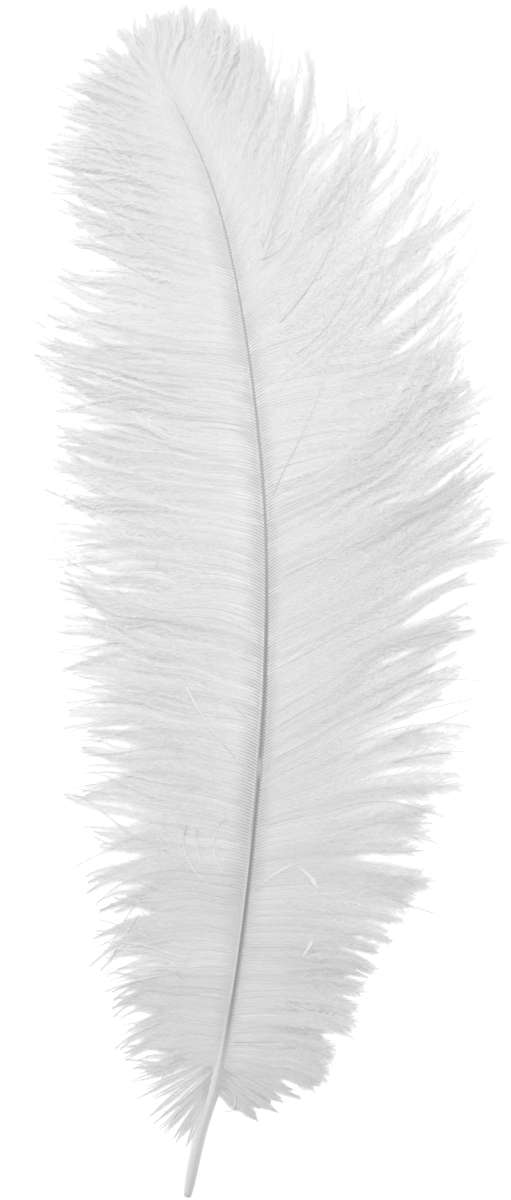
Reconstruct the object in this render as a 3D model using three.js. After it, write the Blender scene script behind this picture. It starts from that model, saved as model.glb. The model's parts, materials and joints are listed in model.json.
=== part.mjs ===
// White ostrich wing plume, as plucked, lying on its back on a flat surface.
// Millimetres, +Z up. The quill points to -Y, the plume's tip to +Y, and the origin is the
// middle of the footprint, on the surface that the plume lies on.
import * as THREE from "three";

// --- Driving dimensions -------------------------------------------------------------------

const PLUME_LENGTH = 350; // quill's end to the furthest barb tip
const PLUME_WIDTH = 142; // widest spread of the barbs
const SHAFT_GAP = 0.35; // clearance between the shaft's flank and a vane's root
const BARB_EDGE = 1.6; // thickness that the down has left at the barb tips
const BARB_LOFT = 2.8; // how far the down swells, in the middle, above a line from shaft to tip
const SHAFT_CREST = 8; // height of the shaft's middle above the surface
const LOCK_NOTCH = 0.11; // share of a barb's length that the outline draws back between two locks
const ROOT_BEND = 0.14; // share of a barb's length taken by its bend away from the shaft
const ROOT_SLANT = 55; // degrees between the shaft and the root of a barb
const LAST_BEND = 0.2; // the same bend for the last barbs, at the shaft's end
const LAST_SLANT = 30; // and their slant
const TIP_BEND = 0.4; // share of a barb's length taken by its bend towards its tip
const LEFT_SWEEP = 2; // degrees that a barb's tip sweeps up on the left
const RIGHT_SWEEP = 14; // and on the right
const CLOSING_START = 0.86; // share of the shaft's length from where the barbs close towards its end
const ROOT_RISE = 0.25; // share of the shaft's depth, from its centre up to a barb's root
const SAG_POWER = 1.2; // above 1, a barb sinks later on its way to its tip

const HALF_LENGTH = PLUME_LENGTH / 2;
const HALF_WIDTH = PLUME_WIDTH / 2;

// The shaft's centreline: across, along, above the surface. It lies in a long S, bows up in
// the middle, where the down carries it, and drops at both ends.
const SHAFT_LINE = [
  [-20.1, -HALF_LENGTH, 1.5],
  [-16.9, -158.5, 2.2],
  [-11.6, -141, 3.2],
  [-5.4, -105.6, 5.6],
  [0.4, -52.6, 7.4],
  [3.2, 0, SHAFT_CREST],
  [2.2, 35.6, 7.7],
  [-4.6, 88.5, 6.4],
  [-13.4, 123.8, 4.8],
  [-25.7, 150.3, 3.0],
  [-28.7, 155.6, 2.6],
];

// Distance from the quill's end, then the shaft's width and depth there.
const SHAFT_SIZES = [
  [0, 2.5, 2.4],
  [3, 3.2, 3.1],
  [12, 3.8, 3.6],
  [28, 3.3, 3.2],
  [45, 3.6, 3.4],
  [80, 3.6, 3.5],
  [120, 3.2, 3.2],
  [180, 2.3, 2.4],
  [240, 1.5, 1.7],
  [290, 0.95, 1.1],
  [338, 0.5, 0.5],
];

const GROOVE_START = 34; // where the groove along the shaft's upper side begins
const GROOVE_FULL = 60; // where it has its full depth
const GROOVE_DEPTH = 0.24; // share of the shaft's depth
const GROOVE_WIDTH = 0.3; // share of the shaft's half width
const GROOVE_SHIFT = 0.16; // how far right of the middle it runs, as a share of the half width
const SOCKET_RADIUS = 0.6; // the hole in the quill's end, where the pulp fed the feather
const SOCKET_DEPTH = 2.5;

// Each lock of barbs: its root's distance from the quill's end, then its tip, across and along.
const LEFT_LOCKS = [
  [41, -35.0, -141.5],
  [47, -41.4, -133.5],
  [56, -44.0, -121],
  [66, -46.0, -110],
  [76, -49.3, -99],
  [86, -50.4, -88],
  [98, -52.2, -78],
  [110, -58.5, -59.5],
  [124, -53.0, -45],
  [138, -58.5, -27],
  [150, -60.4, -14],
  [163, -59.5, -3],
  [177, -60.0, 8],
  [190, -63.0, 20],
  [203, -64.4, 32],
  [216, -61.0, 43],
  [228, -60.0, 57],
  [240, -HALF_WIDTH, 71],
  [252, -66.0, 82],
  [263, -64.5, 93],
  [273, -57.5, 101],
  [284, -62.0, 115],
  [294, -65.0, 129],
  [303, -64.9, 138],
  [312, -59.5, 149],
  [320, -53.0, 158],
  [328, -44.5, 166.5],
  [333, -35.0, 172.0],
];
const RIGHT_LOCKS = [
  [42, 19.0, -140],
  [48, 24.5, -132],
  [56, 29.0, -123],
  [65, 32.0, -114],
  [74, 34.5, -105],
  [84, 38.5, -97],
  [95, 45.0, -90],
  [106, 51.5, -79],
  [118, 52.0, -66],
  [129, 56.0, -53],
  [138, 65.5, -44],
  [147, 68.0, -28],
  [157, 62.5, -15],
  [168, 64.0, -3],
  [179, 65.0, 10],
  [189, HALF_WIDTH, 25],
  [199, 66.5, 36],
  [209, 65.0, 48],
  [220, 69.0, 63],
  [230, 63.0, 74],
  [240, 65.5, 88],
  [249, 64.5, 103],
  [257, 62.0, 116],
  [264, 57.5, 129],
  [271, 48.5, 138.5],
  [279, 36.5, 146],
  [287, 25.5, 156],
  [296, 16.5, 164],
  [305, 5.0, 170.5],
  [314, -5.0, 169.5],
  [323, -11.0, HALF_LENGTH],
  [330, -20.0, 174.2],
  [337, -31.6, 173.6],
];
// The short, downy barbs at the foot of each vane, which hang back along the quill.
const LEFT_DOWN = [
  [31, -20.5, -160.5],
  [33, -24.0, -158.5],
  [35.5, -28.0, -155.5],
  [38, -31.5, -150.5],
  [40, -34.5, -145.5],
];
const RIGHT_DOWN = [
  [34, 0.0, -152.5],
  [36, 6.5, -150],
  [38.5, 13.0, -146.5],
  [41, 17.5, -142.5],
];

const SHAFT_STEPS = 64;
const SHAFT_SIDES = 16;
const STEPS_PER_LOCK = 3;
const STEPS_PER_BARB = 5;

// --- Curves -------------------------------------------------------------------------------

const shaftLine = new THREE.CatmullRomCurve3(
  SHAFT_LINE.map(([x, y, z]) => new THREE.Vector3(x, y, z)),
  false,
  "centripetal",
);
const shaftLength = shaftLine.getLength();

/** A smooth function through rows of [position, value, ...], which returns the values. */
function throughRows(rows) {
  const positions = rows.map((row) => row[0]);
  const values = rows.flatMap((row) => row.slice(1));
  const curve = new THREE.CubicInterpolant(positions, values, rows[0].length - 1);
  return (at) => [...curve.evaluate(at)];
}

const shaftSize = throughRows(SHAFT_SIZES);

/** The shaft's centre, its direction and the level direction to its right, at a distance. */
function shaftFrame(distance) {
  const share = THREE.MathUtils.clamp(distance / shaftLength, 0, 1);
  const centre = shaftLine.getPointAt(share);
  const along = shaftLine.getTangentAt(share);
  const right = new THREE.Vector3(along.y, -along.x, 0).normalize();
  return { centre, along, right };
}

// --- Solids -------------------------------------------------------------------------------

/** A closed mesh from points and triangles. */
function closedMesh(name, points, triangles, material) {
  const geometry = new THREE.BufferGeometry();
  const places = points.flatMap((point) => point.toArray());
  geometry.setAttribute("position", new THREE.Float32BufferAttribute(places, 3));
  geometry.setIndex(triangles);
  geometry.computeVertexNormals();
  const mesh = new THREE.Mesh(geometry, material);
  mesh.name = name;
  return mesh;
}

/** One ring of the shaft's section: rounded, with the groove pressed into its upper side. */
function shaftRing(distance) {
  const { centre, along, right } = shaftFrame(distance);
  const up = new THREE.Vector3().crossVectors(right, along);
  const [width, depth] = shaftSize(Math.min(distance, shaftLength));
  const grooved = THREE.MathUtils.smoothstep(distance, GROOVE_START, GROOVE_FULL);
  const ring = [];
  for (let side = 0; side < SHAFT_SIDES; side += 1) {
    const angle = (2 * Math.PI * side) / SHAFT_SIDES;
    const across = Math.cos(angle);
    const fromGroove = (across - GROOVE_SHIFT) / GROOVE_WIDTH;
    const upper = Math.sin(angle) > 0 ? 1 : 0;
    const pressed = GROOVE_DEPTH * grooved * upper * Math.exp(-fromGroove * fromGroove);
    ring.push(
      centre
        .clone()
        .addScaledVector(right, (width / 2) * across)
        .addScaledVector(up, depth * (Math.sin(angle) / 2 - pressed)),
    );
  }
  return ring;
}

/** The quill and rachis, one piece: rings along the centreline, with a socket in the end. */
function makeShaft(material) {
  const foot = shaftFrame(0);
  const [footWidth] = shaftSize(0);
  const rim = shaftRing(0);
  const rings = [];
  for (const depth of [SOCKET_DEPTH, 0]) {
    rings.push(
      rim.map((point) =>
        foot.centre
          .clone()
          .lerp(point, SOCKET_RADIUS / (footWidth / 2))
          .addScaledVector(foot.along, depth),
      ),
    );
  }
  for (let step = 0; step <= SHAFT_STEPS; step += 1) {
    rings.push(shaftRing((shaftLength * step) / SHAFT_STEPS));
  }

  const points = rings.flat();
  const socketFloor = points.length;
  points.push(foot.centre.clone().addScaledVector(foot.along, SOCKET_DEPTH));
  const tip = points.length;
  points.push(shaftLine.getPointAt(1));

  const triangles = [];
  for (let side = 0; side < SHAFT_SIDES; side += 1) {
    const next = (side + 1) % SHAFT_SIDES;
    for (let ring = 0; ring < rings.length - 1; ring += 1) {
      const here = ring * SHAFT_SIDES;
      const beyond = here + SHAFT_SIDES;
      triangles.push(here + side, beyond + next, here + next);
      triangles.push(here + side, beyond + side, beyond + next);
    }
    const last = (rings.length - 1) * SHAFT_SIDES;
    triangles.push(socketFloor, side, next);
    triangles.push(tip, last + next, last + side);
  }
  return closedMesh("shaft", points, triangles, material);
}

/** A barb's path in plan, from the shaft's flank to its tip. side is 1 to the right. */
function barbPath(side, root, tip) {
  const { centre, along, right } = shaftFrame(root);
  const [width] = shaftSize(Math.min(root, shaftLength));
  const outwards = right.clone().multiplyScalar(side);
  const start = centre.clone().addScaledVector(outwards, width / 2 + SHAFT_GAP);
  const reach = tip.clone().sub(start).setZ(0);
  const closing = THREE.MathUtils.smoothstep(root, CLOSING_START * shaftLength, shaftLength);
  const slant = THREE.MathUtils.degToRad(THREE.MathUtils.lerp(ROOT_SLANT, LAST_SLANT, closing));
  const departure = along.clone().setZ(0).normalize().multiplyScalar(Math.cos(slant));
  departure.addScaledVector(outwards, Math.sin(slant));
  const bend = THREE.MathUtils.lerp(ROOT_BEND, LAST_BEND, closing);
  const sweep = THREE.MathUtils.degToRad(side > 0 ? RIGHT_SWEEP : LEFT_SWEEP) * (1 - closing);
  const arrival = reach.clone().applyAxisAngle(new THREE.Vector3(0, 0, side), sweep);
  return new THREE.CubicBezierCurve3(
    start,
    start.clone().addScaledVector(departure, bend * reach.length()),
    tip.clone().addScaledVector(arrival, -TIP_BEND),
    tip,
  );
}

/** The space that one vane's barbs fill: flat below, swelling above, thin at the tips. */
function makeVane(name, side, locks, material) {
  const lockRows = throughRows(locks.map((lock, index) => [index, ...lock]));
  const columns = STEPS_PER_BARB + 1;
  const count = (locks.length - 1) * STEPS_PER_LOCK + 1;
  const top = [];
  const bottom = [];
  for (let row = 0; row < count; row += 1) {
    const [root, tipAcross, tipAlong] = lockRows(row / STEPS_PER_LOCK);
    const betweenLocks = Math.sin((Math.PI * row) / STEPS_PER_LOCK) ** 2;
    const path = barbPath(side, root, new THREE.Vector3(tipAcross, tipAlong, 0));
    const rootHeight = shaftFrame(root).centre.z + shaftSize(root)[1] * ROOT_RISE;
    for (let column = 0; column < columns; column += 1) {
      const share = column / STEPS_PER_BARB;
      const place = path.getPoint(share * (1 - LOCK_NOTCH * betweenLocks * share));
      const sag = THREE.MathUtils.lerp(rootHeight, BARB_EDGE, share ** SAG_POWER);
      const swell = BARB_LOFT * 4 * share * (1 - share) * (rootHeight / SHAFT_CREST);
      top.push(new THREE.Vector3(place.x, place.y, sag + swell));
      bottom.push(new THREE.Vector3(place.x, place.y, 0));
    }
  }

  const points = [...top, ...bottom];
  const under = top.length;
  const triangles = [];
  const quad = (a, b, c, d) => {
    const corners = side > 0 ? [a, b, c, a, c, d] : [a, c, b, a, d, c];
    triangles.push(...corners);
  };
  for (let row = 0; row < count - 1; row += 1) {
    const near = row * columns;
    const far = near + columns;
    for (let column = 0; column < columns - 1; column += 1) {
      quad(near + column, near + column + 1, far + column + 1, far + column);
      quad(
        under + near + column,
        under + far + column,
        under + far + column + 1,
        under + near + column + 1,
      );
    }
    const edge = columns - 1;
    quad(near, far, under + far, under + near);
    quad(near + edge, under + near + edge, under + far + edge, far + edge);
  }
  const last = (count - 1) * columns;
  for (let column = 0; column < columns - 1; column += 1) {
    quad(column, under + column, under + column + 1, column + 1);
    quad(last + column, last + column + 1, under + last + column + 1, under + last + column);
  }
  return closedMesh(name, points, triangles, material);
}

// --- Finishes -----------------------------------------------------------------------------

const horn = new THREE.MeshStandardMaterial({ color: 0xcfcdca, roughness: 0.45, metalness: 0 });
const whiteBarbs = new THREE.MeshStandardMaterial({ color: 0xededec, roughness: 0.85, metalness: 0 });
const whiteDown = new THREE.MeshStandardMaterial({ color: 0xe6e6e4, roughness: 0.9, metalness: 0 });

// --- The plume ----------------------------------------------------------------------------

const plume = new THREE.Group();
plume.name = "ostrich_plume";
plume.add(
  makeShaft(horn),
  makeVane("vane_left", -1, LEFT_LOCKS, whiteBarbs),
  makeVane("vane_right", 1, RIGHT_LOCKS, whiteBarbs),
  makeVane("down_left", -1, LEFT_DOWN, whiteDown),
  makeVane("down_right", 1, RIGHT_DOWN, whiteDown),
);

const footprint = new THREE.Box3().setFromObject(plume);
const middle = footprint.getCenter(new THREE.Vector3());
plume.position.set(-middle.x, -middle.y, -footprint.min.z);

export default plume;
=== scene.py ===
"""Finishes a white ostrich plume: its horny shaft, and every barb of its two soft vanes.

Metres, +Z up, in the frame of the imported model. The plume lies on its back with the quill
towards -Y and its tip towards +Y.
"""

import json
import math

import bpy
import numpy as np
from bpy.props import FloatProperty, IntProperty, PointerProperty, StringProperty
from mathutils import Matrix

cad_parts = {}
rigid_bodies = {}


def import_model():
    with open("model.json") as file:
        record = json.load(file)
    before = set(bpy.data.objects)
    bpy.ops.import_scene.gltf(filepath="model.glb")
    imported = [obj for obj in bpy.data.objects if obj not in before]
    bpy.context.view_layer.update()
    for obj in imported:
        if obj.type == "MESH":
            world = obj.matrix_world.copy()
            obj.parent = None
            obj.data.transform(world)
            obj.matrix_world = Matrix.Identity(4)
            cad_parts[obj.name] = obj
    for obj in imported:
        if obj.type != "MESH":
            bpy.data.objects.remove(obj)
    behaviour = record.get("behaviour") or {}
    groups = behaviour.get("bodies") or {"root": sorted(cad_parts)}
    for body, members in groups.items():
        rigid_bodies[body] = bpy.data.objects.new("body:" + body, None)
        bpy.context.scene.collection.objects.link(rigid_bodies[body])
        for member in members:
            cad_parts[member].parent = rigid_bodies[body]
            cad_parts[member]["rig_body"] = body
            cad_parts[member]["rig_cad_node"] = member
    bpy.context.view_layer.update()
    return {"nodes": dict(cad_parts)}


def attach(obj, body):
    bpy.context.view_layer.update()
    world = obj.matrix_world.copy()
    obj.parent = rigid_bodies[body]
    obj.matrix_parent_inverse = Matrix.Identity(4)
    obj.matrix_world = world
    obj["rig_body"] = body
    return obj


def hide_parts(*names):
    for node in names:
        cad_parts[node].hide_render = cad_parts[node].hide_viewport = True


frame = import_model()

bl_info = {
    "name": "Ostrich plume",
    "version": (1, 0, 0),
    "blender": (4, 5, 0),
    "location": "3D Viewport > Sidebar > Plume",
    "description": "Grows the shaft, barbs and down of an ostrich plume on its packed frame",
    "category": "Add Mesh",
}

MM = 0.001
UP = np.array([0.0, 0.0, 1.0])

# Each lock of barbs, in millimetres: its root's distance from the quill's end, then its tip,
# across and along, and how high that tip floats, in steps of 0.4 mm.
LEFT_LOCKS = [
    (39, -34.9, -142.4, 0.0),
    (48, -41.0, -132.6, 1.0),
    (62, -45.1, -114.4, 0.0),
    (72, -47.5, -106.0, 1.5),
    (80, -49.3, -98.2, 0.0),
    (88, -49.5, -88.5, 1.5),
    (96, -51.0, -81.0, 0.5),
    (103, -54.0, -70.5, 0.0),
    (110, -57.5, -59.4, 1.5),
    (118, -53.5, -51.5, 0.0),
    (125, -53.1, -43.8, 1.0),
    (132, -56.5, -35.0, 0.0),
    (139, -59.0, -26.2, 2.0),
    (147, -57.0, -18.5, 0.5),
    (154, -59.0, -11.5, 0.0),
    (162, -59.5, -4.0, 1.5),
    (169, -60.4, 3.2, 0.0),
    (177, -60.0, 9.8, 1.0),
    (184, -61.9, 16.5, 0.0),
    (191, -63.5, 24.0, 2.0),
    (198, -64.0, 31.2, 0.5),
    (206, -60.5, 37.5, 0.0),
    (213, -61.0, 42.9, 1.5),
    (221, -59.5, 51.0, 0.0),
    (228, -60.4, 59.1, 1.0),
    (237, -69.3, 70.3, 0.0),
    (244, -66.5, 76.0, 1.5),
    (251, -65.7, 82.6, 0.0),
    (257, -61.5, 91.5, 1.0),
    (263, -57.5, 99.7, 0.0),
    (271, -58.0, 108.0, 1.5),
    (278, -60.4, 116.5, 0.0),
    (287, -62.5, 122.5, 1.0),
    (294, -64.0, 128.2, 0.0),
    (303, -64.9, 135.6, 1.5),
    (311, -61.0, 143.0, 0.0),
    (319, -56.5, 151.5, 1.0),
    (326, -50.1, 159.7, 0.0),
    (331, -42.2, 166.8, 1.5),
    (334, -37.0, 171.0, 0.0),
    (337, -31.0, 173.0, 1.0),
]
RIGHT_LOCKS = [
    (38, 14.5, -145.0, 0.0),
    (43, 18.9, -139.4, 1.0),
    (48, 23.7, -132.1, 0.0),
    (55, 28.4, -123.2, 1.5),
    (62, 30.5, -116.5, 0.0),
    (68, 32.2, -110.0, 1.0),
    (73, 34.5, -105.5, 0.0),
    (78, 36.6, -101.2, 1.5),
    (83, 40.0, -96.0, 0.0),
    (88, 44.0, -90.9, 1.0),
    (95, 50.7, -80.6, 0.0),
    (100, 49.5, -72.0, 1.5),
    (104, 50.7, -64.4, 0.0),
    (108, 51.0, -58.0, 1.0),
    (112, 54.3, -52.1, 0.0),
    (115, 60.0, -45.0, 1.5),
    (118, 60.5, -39.0, 0.0),
    (121, 60.0, -33.0, 1.5),
    (123, 61.0, -27.1, 0.0),
    (125, 60.5, -21.5, 1.0),
    (128, 61.6, -14.4, 0.0),
    (135, 62.5, -8.0, 1.5),
    (142, 64.6, -2.6, 0.0),
    (148, 63.5, 3.0, 1.0),
    (154, 63.1, 9.6, 0.0),
    (165, 71.0, 25.3, 1.5),
    (173, 65.4, 33.5, 0.0),
    (183, 72.8, 39.7, 1.0),
    (193, 64.0, 47.0, 0.0),
    (204, 66.5, 56.0, 1.5),
    (216, 69.0, 63.2, 0.0),
    (224, 62.0, 70.0, 1.0),
    (231, 66.0, 79.7, 0.0),
    (239, 62.5, 86.0, 1.5),
    (244, 69.0, 98.8, 0.0),
    (249, 63.1, 108.2, 2.0),
    (256, 64.0, 119.5, 0.0),
    (261, 57.2, 129.7, 1.5),
    (266, 49.5, 139.3, 0.0),
    (270, 43.0, 138.0, 2.0),
    (275, 38.1, 143.0, 0.0),
    (280, 27.8, 154.7, 1.5),
    (285, 20.0, 163.5, 0.0),
    (290, 12.5, 159.0, 2.0),
    (296, 4.9, 170.3, 0.0),
    (303, -0.5, 168.5, 1.5),
    (310, -5.0, 162.1, 0.0),
    (316, -7.0, 170.4, 1.0),
    (323, -11.0, 174.4, 0.0),
    (330, -18.8, 174.4, 1.5),
    (336, -27.6, 172.4, 0.0),
]

# The wisps of down at the foot of each vane, in the same way, but in steps of 0.8 mm.
LEFT_TUFT = [
    (45, -36.5, -141.0, 0.0),
    (44, -35.0, -145.8, 0.5),
    (43, -32.5, -143.0, 0.0),
    (42, -30.5, -146.0, 1.0),
    (41, -31.0, -151.0, 0.0),
    (40, -29.9, -153.4, 0.5),
    (39, -26.5, -150.0, 0.0),
    (38, -28.8, -155.0, 1.0),
    (37, -25.0, -154.0, 0.0),
    (36, -27.2, -156.3, 0.5),
    (35, -24.3, -158.0, 0.0),
    (34, -23.6, -159.0, 0.5),
    (33, -21.5, -157.0, 0.0),
    (32, -20.7, -160.0, 0.5),
]
RIGHT_TUFT = [
    (33, -4.0, -149.0, 0.0),
    (35, -1.5, -150.0, 0.5),
    (36, 0.2, -152.3, 0.0),
    (37, 1.0, -148.5, 0.5),
    (38, 4.0, -147.5, 0.0),
    (39, 6.5, -150.0, 1.0),
    (40, 7.5, -146.5, 0.0),
    (41, 10.5, -143.5, 0.5),
    (42, 13.2, -145.8, 0.0),
]

# Single barbs that lie across the vanes: how far they float, how much paler (or darker, below
# 0) they are, their fringe as a share of a full one, and points that each goes through.
LEFT_STRAYS = [
    (0.3, -0.04, 0.2, [(-2.2, -34.1), (-14.3, -25.3), (-23.1, -21.2)]),
    (0.3, -0.03, 0.2, [(-6.0, -45.3), (-15.0, -34.0), (-22.2, -20.3)]),
    (0.5, 0.0, 0.1, [(-63.0, 67.0), (-69.0, 70.5), (-74.5, 72.4)]),
    (0.4, 0.03, 0.1, [(-19.9, -65.3), (-20.9, -71.2), (-18.7, -77.1), (-13.4, -82.1)]),
    (0.4, 0.03, 0.1, [(-16.9, -66.5), (-17.1, -71.2), (-15.4, -76.5)]),
    (0.4, 0.03, 0.1, [(-8.4, -62.9), (-11.9, -68.2), (-11.9, -74.1), (-8.4, -79.7)]),
    (0.4, -0.03, 0.1, [(-42.2, -104.7), (-36.9, -95.3), (-33.1, -90.0)]),
    (0.4, -0.03, 0.1, [(-45.7, -93.2), (-35.4, -96.2), (-26.0, -100.6)]),
    (0.4, -0.03, 0.15, [(-44.3, -114.4), (-34.0, -110.6), (-26.6, -109.1)]),
    (0.4, -0.03, 0.15, [(-41.3, -131.2), (-33.1, -125.3), (-26.6, -122.6)]),
]
RIGHT_STRAYS = [
    (0.3, 0.02, 0.12, [(2.0, 103.4), (6.4, 118.2), (8.6, 132.6), (11.9, 146.4)]),
    (0.3, 0.02, 0.12, [(1.5, 99.5), (9.7, 106.6), (11.9, 114.9), (15.7, 122.6)]),
    (0.4, -0.06, 0.15, [(6.9, 81.3), (14.1, 88.5), (22.9, 107.8), (27.9, 127.1), (26.8, 146.4)]),
    (0.3, -0.05, 0.12, [(34.5, 85.7), (36.4, 96.2), (35.9, 101.7)]),
    (0.3, -0.05, 0.12, [(32.3, 80.2), (39.4, 91.2), (43.3, 110.5), (48.8, 125.4)]),
    (0.4, -0.06, 0.2, [(5.0, 31.0), (13.1, 48.0), (19.0, 63.5), (19.6, 84.1)]),
    (0.3, -0.05, 0.1, [(46.6, 77.4), (47.2, 88.5), (48.3, 96.2)]),
    (0.3, -0.05, 0.15, [(11.9, 71.9), (26.8, 89.6), (37.8, 112.7), (46.6, 123.7)]),
    (0.4, -0.02, 0.2, [(40.0, -34.0), (58.0, -29.6), (69.0, -27.1)]),
    (0.4, -0.02, 0.2, [(40.0, -47.0), (55.0, -44.0), (65.4, -44.4)]),
    (0.4, -0.02, 0.2, [(40.0, -40.0), (55.0, -36.0), (65.2, -37.5)]),
    (0.3, 0.03, 0.3, [(11.6, -76.8), (15.4, -79.7), (18.1, -83.8)]),
    (0.3, 0.03, 0.25, [(13.7, -104.1), (15.0, -101.8), (16.6, -98.8)]),
    (0.3, 0.0, 0.1, [(-11.3, -142.4), (-6.9, -143.6), (-5.5, -146.8), (-8.1, -149.1), (-11.0, -147.9)]),
    (0.3, 0.03, 0.15, [(-0.2, -84.4), (6.0, -79.0), (12.2, -76.2)]),
    (0.6, -0.05, 0.08, [(46.0, -69.0), (50.0, -69.8), (54.5, -71.4)]),
    (0.6, -0.05, 0.1, [(40.0, -87.0), (47.0, -89.6), (55.1, -92.4)]),
]

# How a barb leaves and ends, for both sides, at distances along the shaft. The slant is the
# angle in degrees between the shaft and the barb's root, and the sweep and the curl turn its
# outer part and its tip towards the plume's tip.
SLANT = {
    -1: ((28, 38, 55, 100, 125, 150, 280, 318, 330, 337), (130, 105, 88, 78, 60, 50, 48, 46, 30, 8)),
    1: ((28, 40, 55, 80, 120, 290, 320, 337), (130, 105, 80, 65, 52, 46, 34, 8)),
}
SWEEP = {
    -1: ((40, 100, 160, 220, 270, 300, 325, 337), (-16, -10, 0, 6, 4, -8, -10, -2)),
    1: ((40, 90, 140, 190, 230, 280, 310, 337), (-10, -6, 0, 8, 20, 26, 14, 0)),
}
CURL = {
    -1: ((40, 100, 160, 230, 300, 337), (-28, -18, 0, 10, 4, 0)),
    1: ((40, 118, 150, 200, 337), (-10, -22, -10, 5, 0)),
}

# The groove's place across the shaft (0 its left edge, 1 its right) at distances along it.
GROOVE_PLACE = ((0, 60, 120, 150, 180, 220, 340), (0.58, 0.6, 0.64, 0.66, 0.5, 0.43, 0.46))
GROOVE_DARKEST = 0.6  # where the groove's own curve has it across the shaft

# The horn's tones, as points of a place and a value: across the shaft, from its left edge (0)
# to its right (1), and along it, from the quill's end (0) to the tip (1). The paler flanks are
# painted light against the round shaft's shade, and the gleam is a painted highlight.
HORN_ACROSS = {
    # The groove's grey: partly the horn's own, partly painted shade in the groove.
    "groove": ((0, 0), (0.38, 0), (0.5, 0.7), (GROOVE_DARKEST, 1), (0.7, 0.75), (0.82, 0.05), (1, 0)),
    # A painted highlight at the groove's left edge.
    "gleam": ((0, 0), (0.33, 0), (0.4, 1), (0.47, 0), (1, 0)),
    # Painted light: flanks made paler so that the round shaft's shade doesn't show.
    "painted_flank_light": ((0, 1), (0.1, 0.85), (0.25, 0.68), (0.5, 0.6), (0.75, 0.56), (0.9, 0.66), (1, 0.85)),
}
HORN_ALONG = {
    # The groove's depth of tone, with a pale break between 0.377 and 0.386.
    "groove_depth": (
        (0, 0.05), (0.06, 0.1), (0.12, 0.35), (0.18, 0.8), (0.3, 0.9), (0.372, 0.9), (0.377, 0),
        (0.386, 0), (0.391, 0.9), (0.45, 0.9), (0.53, 0.5), (0.62, 0.18), (0.8, 0.15), (1, 0.1),
    ),
    # How strong the painted highlight is along the shaft.
    "gleam_depth": ((0, 0), (0.16, 0), (0.2, 0.3), (0.3, 0.3), (0.33, 0), (1, 0)),
    "bare_quill": ((0, 0.8), (0.03, 0.95), (0.11, 0.98), (0.18, 0.8), (1, 0.8)),
}

# The stage, in metres and degrees.
FLOOR_SIZE = 6.0
LAMP_SIZE = 0.6
LAMP_PLACE = (-0.10, 0.26, 1.6)
LAMP_TILT = (-9, -3.5)
VIEW_CENTRE = (0, 0.0004)

# --- Sizes and colours that a user would change -------------------------------------------


class ShaftSettings(bpy.types.PropertyGroup):
    """The horny quill and rachis."""

    horn: StringProperty(name="Horn", description="sRGB hex of the shaft's flanks", default="#E6E6E6")
    # The groove's grey is partly the horn's own and partly painted shade.
    groove: StringProperty(name="Groove", description="sRGB hex of the shaft's groove", default="#A8A8A8")


class BarbSettings(bpy.types.PropertyGroup):
    """The barbs of both vanes, and their fringes of barbules."""

    spacing: FloatProperty(
        name="Spacing",
        description="Distance between two barbs along the shaft",
        default=0.92 * MM,
        unit="LENGTH",
    )
    thickness: FloatProperty(
        name="Thickness",
        description="A barb's thickness at its root",
        default=0.34 * MM,
        unit="LENGTH",
    )
    fringe: FloatProperty(
        name="Fringe",
        description="Length of the longest barbules",
        default=4.2 * MM,
        unit="LENGTH",
    )
    barbule: FloatProperty(
        name="Barbule",
        description="A barbule's width at its root",
        default=0.205 * MM,
        unit="LENGTH",
    )
    barbules: IntProperty(
        name="Barbules",
        description="Barbules on each side of a barb",
        default=230,
        min=20,
    )
    white: StringProperty(name="White", description="sRGB hex of the barbs", default="#F8F8F8")
    # The foot's grey is painted shade where the barbs lie thickest.
    grey: StringProperty(name="Grey", description="sRGB hex of the barbs at their foot", default="#ECECEC")
    seed: IntProperty(name="Seed", description="Start of the random growth", default=7)


class StageSettings(bpy.types.PropertyGroup):
    """The surface, the light and the camera."""

    view_length: FloatProperty(
        name="View length",
        description="Length of surface that the camera sees from top to bottom",
        default=352.94 * MM,
        unit="LENGTH",
    )
    lens: FloatProperty(name="Lens", description="Focal length in millimetres", default=85.0)
    surface: StringProperty(name="Surface", description="sRGB hex of the surface", default="#F6F6F6")
    glow: FloatProperty(name="Glow", description="Light that the surface gives off by itself", default=0.17)
    sky: FloatProperty(name="Sky", description="Strength of the light from all round", default=0.5)
    key: FloatProperty(name="Key", description="Power of the soft overhead light", default=19.5, unit="POWER")


# --- The shaft, measured on its solid ------------------------------------------------------


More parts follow.
